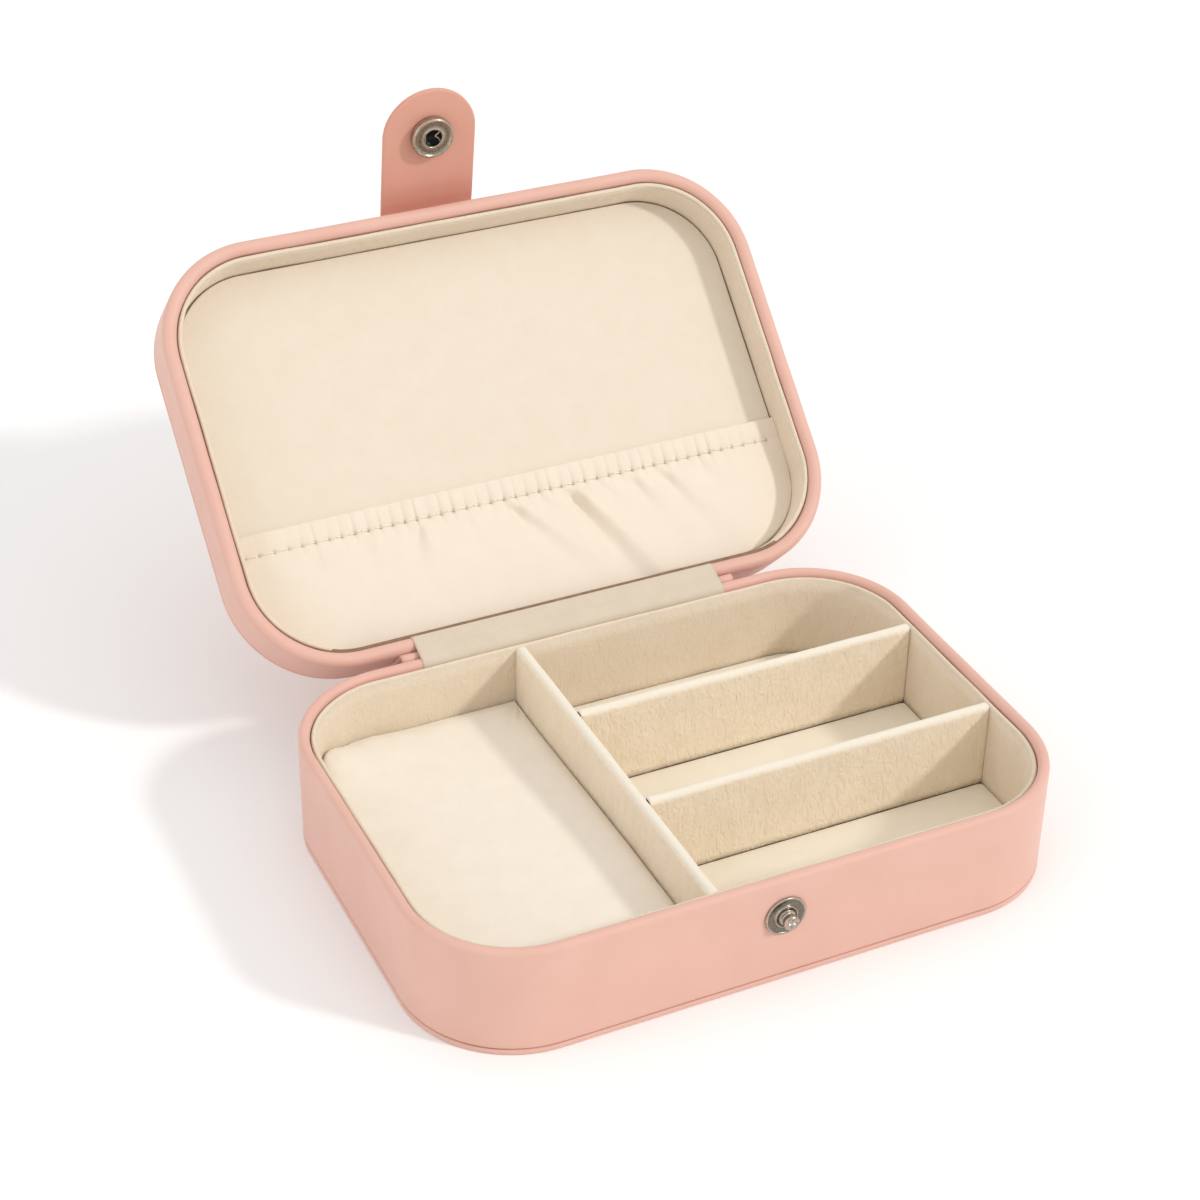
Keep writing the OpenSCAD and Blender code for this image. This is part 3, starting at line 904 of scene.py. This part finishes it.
def hinge_cover():
    """Outer strip: up the base's back wall, round the fold and up the lid's wall."""
    fold_r, flat = 1.0, CASE_D / 2 + 0.02 + SKIN / 2
    vee = 180 - OPEN  # between the two walls
    way = np.array([math.sin(math.radians(vee / 2)), -math.cos(math.radians(vee / 2))])
    fold = HINGE[1:] + (fold_r - HINGE[1] + flat) / way[0] * way
    turn = arc(fold, fold_r, 180, vee, 12)
    path = [[flat, COVER_LOW]] + turn + [lid_point(0, flat, COVER_FLAP)[1:]]
    middle = across(resample(path, 0.4), COVER_W, 1.2)
    crease = ripple(middle.reshape(-1, 3) * [0.25, 1, 1], 1.6, 61).reshape(middle.shape[:2])
    near = bell(np.linalg.norm(middle[:, :, 1:] - fold, axis=2) / 3.5)
    middle[:, :, 1] += 0.1 * crease * near
    points, faces = shell(middle, SKIN)
    piece = make("hinge_cover_skin", points, faces, PINK)
    bend(piece, ("base", "lid"), (0, *turn[0]), (0, *turn[-1]), "leatherette", "hinge_cover")


def hinge_lining():
    """Inner strip: out from behind the base's liner, over both rims and in behind the lid's."""
    out = LINING_T / 2 + 0.02
    base_r, lid_r = BASE_WALL / 2 + out, LID_WALL / 2 + out
    base_rim = np.array([CASE_D / 2 - BASE_WALL / 2, BASE_H - BASE_WALL / 2])
    lid_rim = lid_point(0, CASE_D / 2 - LID_WALL / 2, LID_WALL / 2)[1:]
    between = lid_rim - base_rim
    tangent = math.degrees(math.atan2(between[1], between[0]))
    tangent += math.degrees(math.acos((base_r - lid_r) / np.linalg.norm(between)))
    inward = 180 - OPEN  # the lid's inner side, as an angle
    path = [base_rim - [base_r, 3.2]] + arc(base_rim, base_r, 180, tangent, 10)
    path += arc(lid_rim, lid_r, tangent, inward, 12)
    path.append(lid_point(0, CASE_D / 2 - LID_WALL - out, LID_WALL / 2 + 2.4)[1:])
    path = resample(path, 0.22)
    middle = across(path, LINING_W, 0.8)
    flat = middle.reshape(-1, 3)
    fold_line = (base_rim + lid_rim) / 2 + [-0.6, 1.4]
    to_fold = np.linalg.norm(middle[:, :, 1:] - fold_line, axis=2)
    uneven = 1 + 0.5 * ripple(flat, 9, 71).reshape(to_fold.shape)
    sag = LINING_SAG * bell(to_fold / 0.55) * uneven
    wave = 0.1 * ripple(flat * [1, 0.6, 0.6], 5, 73).reshape(to_fold.shape)
    middle[:, :, 2] += wave * bell(to_fold / 2.2) - sag
    points, faces = shell(middle, LINING_T)
    piece = make("hinge_lining_skin", points, faces, LINING_CREAM)
    start, end = base_rim + [0, base_r], lid_point(0, CASE_D / 2 - LID_WALL / 2, -out)
    bend(piece, ("base", "lid"), (0, *start), end, "suede", "hinge_lining")


hinge_cover()
hinge_lining()


# ---- Pocket ----

POCKET_X = CASE_W / 2 - LID_LINER_IN  # to its side seams
STITCH_S, MOUTH_S = 34.7, 39.8  # up the lid from its hinge side
SEAM_H, BACK_H = PANEL - 0.1, PANEL - 0.25
BULGE, MOUTH_OUT = 5.2, 1.5  # how far it stands off the panel
BELLY = 0.1  # share of its cloth that stands up from the seam
BELLY_RISE = 0.04  # share of its height that this part takes
OVERHANG = 0.95  # how far its belly hangs over the liner at the hinge side
PUFF_PITCH, PUFF_OUT = 3.4, 0.8  # gathers along the elastic
GATHER_LEFT, GATHER_RIGHT = (-78, 40), (76, 22)  # the ends of the gathers, and how soon they are full
FOLD_DEPTH = 1.5  # of the folds below
EASE = 1.012  # the fabric's length over the pocket's, down its front
FULLNESS, FULLER = 0.11, 0.05  # its extra width, and more in the middle, as shares
SKEW = 6  # how far its lower right part is cut to one side, which slants the folds there
FABRIC_T = 0.45

# Folds that fall from the elastic: place, slant, depth, width and reach
FOLDS = (
    (-57.0, 0.0, 0.25, 2.0, 8),
    (-43.4, 0.0, 0.45, 2.2, 10),
    (-28.5, -0.24, 0.9, 2.4, 13),
    (-16.5, 0.2, 0.4, 2.0, 8),
    (-4.5, 0.65, 1.0, 2.5, 17),
    (5.0, 0.5, 0.4, 1.8, 8),
    (12.9, 0.46, 1.5, 2.9, 30),
    (22.5, 0.4, 0.4, 1.8, 9),
    (30.6, 0.42, 0.8, 2.4, 13),
    (39.3, 0.48, 0.8, 2.3, 16),
    (52.0, 0.3, 0.35, 2.2, 10),
)


def on_lid(x, s, h):
    """A grid of points at x, at s up the lid from its hinge side, and at h above its rim."""
    return np.stack(np.broadcast_arrays(x, CASE_D / 2 - s, h), axis=2)


def seam_s(x):
    """The pocket's bottom seam, which follows the lid's rounded corners."""
    r = CORNER_R - LID_LINER_IN
    past = np.clip(np.abs(x) - (CASE_W / 2 - CORNER_R), 0, r)
    return LID_LINER_IN + r - np.sqrt(np.maximum(r * r - past * past, 0))


def fold_depth(x, below):
    """How deep the folds are below the stitching: a valley, and a long crest on its right."""
    depth = 0
    for at, slant, deep, wide, reach in FOLDS:
        spread = wide * (0.5 + 0.9 * np.clip(below / reach, 0, 1.4))
        side = (x - at - slant * below) / spread
        valley = bell((side + 0.5) / np.where(side < -0.5, 1.5, 0.85))
        crest = bell((side - 1.2) / np.where(side < 1.2, 0.9, 2.3))
        depth = depth + deep * bell(np.maximum(below, 0) / reach) * (0.8 * valley - 0.6 * crest)
    return depth


def puff_creases():
    """The places of the creases between the gathers."""
    draw = np.random.default_rng(7)
    creases, x = [], -POCKET_X + 2.0
    while x < POCKET_X - 1.5:
        creases.append(x)
        x += PUFF_PITCH * (1.0 + 0.12 * (1 - gathered(x))) + 0.4 * (draw.random() - 0.5)
    return np.array(creases)


def gathered(x):
    """How strongly the mouth is gathered, from 0 at its ends to 1."""
    (left, left_run), (right, right_run) = GATHER_LEFT, GATHER_RIGHT
    return ease((np.asarray(x) - left) / left_run) * ease((right - np.asarray(x)) / right_run)


def puffs(x, creases):
    """0 in the creases and up to 1 on the gathers between them."""
    k = np.clip(np.searchsorted(creases, x, side="right") - 1, 0, len(creases) - 2)
    share = unit((x - creases[k]) / (creases[k + 1] - creases[k]))
    lean = share ** (0.8 + 0.35 * np.sin(2.3 * k))
    size = 0.85 + 0.3 * np.sin(1.7 * k + 0.6 * np.sin(3.1 * k))
    return size * np.sin(math.pi * lean) ** 0.75


def resized(values, rows, columns):
    """A grid of points at a finer spacing, along smooth curves."""

    def along(v, count):
        at = np.linspace(0, len(v) - 1, count)
        k = np.clip(at.astype(int), 0, len(v) - 2)
        t = (at - k)[:, None, None]
        a, b, c, d = v[np.maximum(k - 1, 0)], v[k], v[k + 1], v[np.minimum(k + 2, len(v) - 1)]
        slope, square, cube = (c - a) / 2, a - 2.5 * b + 2 * c - d / 2, 1.5 * (b - c) + (d - a) / 2
        return b + t * slope + t**2 * square + t**3 * cube

    return along(along(values, rows).swapaxes(0, 1), columns).swapaxes(0, 1)


def soft_limit(values, limit, sharpness):
    """Values kept below a limit, with a soft knee."""
    return limit - np.logaddexp(0, (limit - values) * sharpness) / sharpness


def pocket_body():
    """The front of the pocket below its stitching, settled as cloth, in lid coordinates."""
    rows, columns = 40, 171
    v = np.linspace(0, 1, rows)[:, None]
    x = np.linspace(-POCKET_X, POCKET_X, columns)[None, :]
    seam = seam_s(x) + 0.1
    overhang = OVERHANG * ease((CUT_REACH + 1 - np.abs(x)) / CUT_RUN)
    up = unit((v - BELLY) / (1 - BELLY))
    rise = BELLY_RISE * unit(v / BELLY) + (1 - BELLY_RISE) * up
    s = seam - overhang * ease(v / BELLY) + (STITCH_S - seam + overhang) * rise
    tallest = STITCH_S - LID_LINER_IN
    narrow = np.sqrt(unit(1 - (np.abs(x) / POCKET_X) ** 3)) * ((STITCH_S - seam) / tallest) ** 0.6
    high_part = 0.5 * ease(1 - up) + 0.5 * (1 - up)
    mouth = MOUTH_OUT * (0.35 + 0.65 * unit((POCKET_X - np.abs(x)) / 9))
    front = mouth + (BULGE * narrow - mouth) * high_part
    out = np.where(v < BELLY, BULGE * narrow * rounded(v / BELLY), front)
    folds = 0.5 * fold_depth(x, STITCH_S - s) * ease((1 - v) * 6)
    middle = on_lid(x, s, SEAM_H - out + folds)
    down = np.linalg.norm(np.diff(middle, axis=0), axis=2)
    cut_y = np.vstack([np.zeros((1, columns)), np.cumsum(down, axis=0)]) * EASE
    gather = 1.02 + (FULLNESS + FULLER * bell((x - 5) / 35)) * ease(v * 1.1)
    cut_x = np.cumsum(gather * np.gradient(x[0])[None, :], axis=1)
    cut_x -= (1 - v) * SKEW * ease((x + 25) / 35) * ease((POCKET_X - x) / 55)
    cut = np.stack([cut_x, cut_y, np.zeros_like(cut_y)], axis=2)
    pinned = np.zeros((rows, columns), bool)
    pinned[v[:, 0] <= BELLY, :] = True
    pinned[-1, :] = True
    pinned[:, [0, -1]] = True
    settled = settle(
        middle.reshape(-1, 3),
        grid(rows, columns),
        pinned.ravel(),
        frames=30,
        bending=0.35,
        pull=(0, 0.05, -0.15),
        cut=cut.reshape(-1, 3),
    ).reshape(rows, columns, 3)
    corner = (1 - ease((POCKET_X - np.abs(x) - 8) / 34)) * (1 - ease(v / 0.6))
    loose = ease((POCKET_X - np.abs(x)) / 18) * (1 - corner)
    settled = middle + (settled - middle) * loose[:, :, None]
    settled[:, :, 1] = soft_limit(settled[:, :, 1], CASE_D / 2 - seam + overhang, 8)
    settled[:, :, 2] = soft_limit(settled[:, :, 2], PANEL - FABRIC_T, 5)
    return settled


def pocket():
    """The gathered pocket: its front, and a casing over the elastic, as one sheet."""
    columns, body_rows, casing_rows = 481, 86, 12
    creases = puff_creases()
    body = resized(pocket_body(), body_rows, columns)
    x = body[-1, :, 0]
    gather = gathered(x) * PUFF_OUT
    puff = puffs(x, creases)
    below = STITCH_S - (CASE_D / 2 - body[:, :, 1])
    body[:, :, 2] += FOLD_DEPTH * fold_depth(body[:, :, 0], below) * ease(below / 4.5)
    body[:, :, 2] -= gather * puffs(body[:, :, 0], creases) * np.exp(-np.maximum(below, 0) / 2.2)
    stitch = body[-1]
    front = np.linspace(0, 1, casing_rows + 1)[1:, None]
    swell = ease(front / 0.5) * (1 - 0.3 * front)
    crease_fade = 1 - 0.5 * ease(front)
    casing_s = STITCH_S + (MOUTH_S - STITCH_S) * front + 0.12 * (puff - 0.5) * gather * front
    relief = puff * crease_fade + 0.5 * (1 - crease_fade)
    casing_h = stitch[:, 2] + gather * puff - 0.3 * swell - gather * relief
    turn = np.linspace(0, math.pi, 9)[1:, None]
    top_s, top_h = casing_s[-1], casing_h[-1]
    reach = (BACK_H - top_h) / 2
    turn_s = top_s + 0.55 * np.sin(turn)
    turn_h = top_h + reach * (1 - np.cos(turn))
    back = np.linspace(0, 1, 7)[1:, None]
    back_s = top_s - (top_s - STITCH_S - 0.3) * back
    casing = [on_lid(x, casing_s, casing_h), on_lid(x, turn_s, turn_h), on_lid(x, back_s, BACK_H)]
    middle = np.concatenate([body] + casing)
    from_holes = np.abs(middle[:, :, :1] - creases).min(axis=2)
    from_line = middle[:, :, 1] - (CASE_D / 2 - STITCH_S)
    is_front = np.arange(len(middle))[:, None] < body_rows + casing_rows
    dimple = is_front * bell(from_holes / 0.42) * bell(from_line / 0.45)
    middle[:, :, 2] += 0.6 * dimple + 0.14 * is_front * bell(from_line / 0.6)
    points, faces = shell(middle, FABRIC_T)
    fabric = attach("lid", "pocket_sheet", (points, faces), POCKET_CREAM, "pocket", "pocket_fabric")
    # painted shade in the stitch holes' dimples
    paint_shade(fabric, 0.75 * np.tile(dimple.ravel(), 2))
    threads = []
    for a, b in zip(creases[:-1], creases[1:]):
        t = np.linspace(0.1, 0.9, 8)
        k = np.searchsorted(x, a + (b - a) * t)
        line = stitch[np.clip(k, 0, columns - 1)].copy()
        line[:, 1] = CASE_D / 2 - STITCH_S - 0.1
        line[:, 2] -= FABRIC_T / 2 - 0.02
        line[:, 2] = 0.5 * (line[:, 2] + line[:, 2].min())
        line[[0, -1], 2] += 0.4
        threads.append(tube(line, 0.19, 8))
    stitches = attach("lid", "pocket_stitches", joined(*threads), THREAD, "pocket")


pocket()


# ---- Strap ----

STRAP_W, STRAP_T, ROOT_T = 25.8, 1.6, 1.0
STRAP_REACH = 22.0  # from its bend to the snap
STRAP_ANGLE = 54.0
ROOT_H = WALL_TOP - 0.2  # the root's middle, in the lid's seam
BEND_OUT, BEND_H = 4.2, 11.1
OUTER_SHARE = 0.625  # the outer layer's part of the strap
EDGE_ROUND = 0.5
PATH_STEP = 0.3

STRAP = (
    LID
    @ Matrix.Translation(Vector((0, -CASE_D / 2 - BEND_OUT, BEND_H)))
    @ Matrix.Rotation(math.radians(STRAP_ANGLE), 4, "X")
    @ Matrix.Rotation(math.pi, 4, "Z")
)
PLACES["strap"] = STRAP @ Matrix.Translation(Vector((0, STRAP_REACH, 0)))  # at the snap


def strap_path():
    """The strap's middle line on the closed lid, from its root to its tip."""
    slope = math.radians(STRAP_ANGLE)
    start = np.array([-CASE_D / 2, ROOT_H])
    end = np.array([-CASE_D / 2 - BEND_OUT, BEND_H])
    corner = np.array([end[0] + (start[1] - end[1]) / math.tan(slope), start[1]])
    u = np.linspace(0, 1, 24)[:, None]
    curve = (1 - u) ** 2 * start + 2 * u * (1 - u) * corner + u * u * end
    tip = end - (STRAP_REACH + STRAP_W / 2) * np.array([math.cos(slope), math.sin(slope)])
    return resample(np.vstack([curve, resample([end, tip], 0.5)[1:]]), PATH_STEP)


def strap_layer(name, low, high, material, *nodes):
    """One layer of the strap, between two shares of its thickness from the middle."""
    path = strap_path()
    columns = 41
    length = PATH_STEP * (len(path) - 1)
    ahead = normalised(np.gradient(path, axis=0))
    half = STRAP_W / 2
    centre = length - half
    tip = centre + half * np.sin(np.linspace(0, math.pi / 2, 28))
    along = np.concatenate([np.linspace(0, centre, 60)[:-1], tip])
    past = np.maximum(along - centre, 0)
    wide = np.sqrt(np.maximum(half**2 - past**2, 0))
    wide[-1] = 0.02
    wide *= 1 + 0.012 * np.exp(-along / 6)
    share = np.sin(np.linspace(-math.pi / 2, math.pi / 2, columns))
    x = wide[:, None] * share[None, :]
    tip_gap = half - np.hypot(past[:, None], x)
    gap = np.where((along > centre)[:, None], tip_gap, wide[:, None] - np.abs(x))
    edge = rounded(gap / EDGE_ROUND)
    at = along / length * (len(path) - 1)
    station = np.arange(len(path))
    line = np.stack([np.interp(at, station, path[:, k]) for k in (0, 1)], axis=1)
    way = np.stack([np.interp(at, station, ahead[:, k]) for k in (0, 1)], axis=1)
    normal = np.stack([way[:, 1], -way[:, 0]], axis=1)
    thick = ROOT_T + (STRAP_T - ROOT_T) * ease((along - 4) / 4)
    spots = np.stack([x.ravel(), np.repeat(along, columns), x.ravel() * 0], axis=1)
    waves = 0.05 * ripple(spots, 9, 81).reshape(x.shape) * edge
    sides = []
    for face in (low, high):
        other = low + high - face
        level = (other + (face - other) * (0.5 + 0.5 * edge)) * thick[:, None] + waves
        side = np.zeros(x.shape + (3,))
        side[:, :, 0] = x
        side[:, :, 1:] = line[:, None, :] + level[:, :, None] * normal[:, None, :]
        sides.append(side)
    points, faces = two_sided(*sides)
    piece = make(name, place(points, LID), faces, material)
    start = lid_point(0, -CASE_D / 2, ROOT_H)
    bend(piece, ("lid", "strap"), start, BEND, "leatherette", *nodes)


def snap_socket():
    """The ring on the strap's inner face, with its raised lip, and a near-black well behind the hole,
    painted shade for its depth.
    """
    face = -STRAP_T / 2 - 2.6
    hole = 2.45
    ring = [[5.45, -0.82], [5.62, -1.3], [5.8, -2.0], [5.8, face + 0.55], [5.68, face + 0.2]]
    ring += [[5.45, face + 0.02], [5.2, face], [4.98, face + 0.1], [4.85, face + 0.34]]
    ring += [[4.3, face + 0.46], [3.5, face + 0.42], [3.0, face + 0.28], [2.75, face + 0.2]]
    ring += [[2.55, face + 0.24], [hole, face + 0.42], [hole, face + 1.0], [3.2, face + 1.05], [3.3, -0.82]]
    points, faces = lathe(ring)
    piece = attach("strap", "snap_socket_ring", (points, faces), NICKEL, "nickel", "snap_socket")
    # painted dark reflection on the flat annulus between the hole's lip and the outer lip
    radius = np.hypot(points[:, 0], points[:, 1])
    paint_shade(piece, 0.6 * ease((radius - 2.9) / 0.4) * ease((4.95 - radius) / 0.2))
    # the well is painted shade: near-black, where the hole's depth lies in shade
    well = [[0, -0.95], [3.15, -0.95], [3.15, face + 1.08], [2.95, face + 1.08], [2.95, -1.15], [0, -1.15]]
    attach("strap", "snap_socket_shade_well", lathe(well, 48), PAINTED_SHADE_STEEL, "nickel")


def socket_springs():
    """Two wires beside the hole: one nearly straight, and one bent inwards."""
    z = -STRAP_T / 2 - 1.35
    t = np.linspace(-1, 1, 25)
    straight = np.stack([1.95 - 0.15 * t**2, 2.3 * t, np.full_like(t, z)], axis=1)
    bent = np.stack([-2.1 + 1.25 * bell((t - 0.1) / 0.33), 2.1 * t, np.full_like(t, z - 0.1)], axis=1)
    wires = joined(*(tube(path, 0.24, 12) for path in (straight, bent)))
    attach("strap", "socket_springs", wires, NICKEL, "nickel", "socket_spring")


def snap_cap():
    """The shallow dome on the strap's outer face."""
    low = STRAP_T / 2
    dome = [[0, low + 0.02], [5.7, low + 0.02], [5.95, low + 0.1], [6.0, low + 0.22]]
    dome += [[5.9, low + 0.38], [5.6, low + 0.52]]
    dome += [[r, low + 0.9 - 0.38 * (r / 5.6) ** 2.4] for r in (4.9, 4.0, 3.0, 2.0, 1.0)] + [[0, low + 0.9]]
    attach("strap", "snap_cap_dome", lathe(dome), NICKEL, "nickel", "snap_cap")


def snap_stud():
    """Flange with a raised lip, two steps, and a dimpled head on a neck."""
    low, high = span("snap_stud")
    centre = Vector((0, -CASE_D / 2, (low[2] + high[2]) / 2))
    on_wall = Matrix.Translation(centre) @ Matrix.Rotation(math.pi / 2, 4, "X")
    profile = [[0, -1.9], [1.45, -1.9], [1.45, 0.05], [4.9, 0.02], [5.12, 0.12], [5.2, 0.34]]
    profile += [[5.12, 0.58], [4.95, 0.7], [4.75, 0.68], [4.6, 0.52], [4.45, 0.4], [3.9, 0.34], [3.15, 0.4]]
    profile += [[3.0, 0.5], [2.96, 0.78], [2.85, 0.9], [2.65, 0.9], [2.55, 0.76], [2.4, 0.62]]
    profile += [[2.2, 0.64], [2.12, 0.85], [2.08, 1.15], [1.95, 1.28], [1.7, 1.3], [1.5, 1.42], [1.42, 1.7]]
    profile += [[1.42, 2.05], [1.6, 2.25], [1.9, 2.5], [2.0, 2.75], [2.0, 3.05], [1.92, 3.35], [1.72, 3.6]]
    profile += [[1.45, 3.7], [1.1, 3.66], [0.75, 3.56], [0.4, 3.42], [0, 3.34]]
    points, faces = lathe(profile)
    radius = np.hypot(points[:, 0], points[:, 1])
    around = np.arctan2(points[:, 1], points[:, 0])
    notch = unit(np.cos(4 * around + 0.6)) ** 2 * bell((radius - 0.85) / 0.4)
    points[:, 2] -= np.where(points[:, 2] > 3.2, 0.3 * notch, 0)
    shape = (place(points, on_wall), faces)
    piece = attach("base", "snap_stud_turned", shape, NICKEL, "nickel", "snap_stud")
    # painted dark reflection on the flange's flat dish, and painted shade in the groove round the neck and
    # in the head's notches
    dish = 0.75 * ease((radius - 2.9) / 0.2) * ease((4.8 - radius) / 0.3)
    groove = 0.95 * ease((radius - 1.7) / 0.2) * ease((2.7 - radius) / 0.2) * (points[:, 2] < 1.0)
    paint_shade(piece, np.maximum(np.maximum(dish, groove), 0.7 * notch * (points[:, 2] > 3.0)))


strap_layer("strap_outer_skin", -0.5 + 1 - OUTER_SHARE, 0.5, STRAP_PINK, "strap_outer", "strap_crease")
strap_layer("strap_lining_skin", -0.5, 0.5 - OUTER_SHARE, STRAP_PINK, "strap_lining")
snap_socket()
socket_springs()
snap_cap()
snap_stud()


# ---- Parts that keep their CAD shape ----

CARRIED = {
    "leatherette": PINK,
    "suede": CREAM,
    "pocket": POCKET_CREAM,
    "elastic": THREAD,
    "card": CARD,
    "foam": FOAM,
    "nickel": NICKEL,
}
for node in frame["nodes"].values():
    for holder in node.material_slots:
        holder.material = CARRIED[holder.material.name]
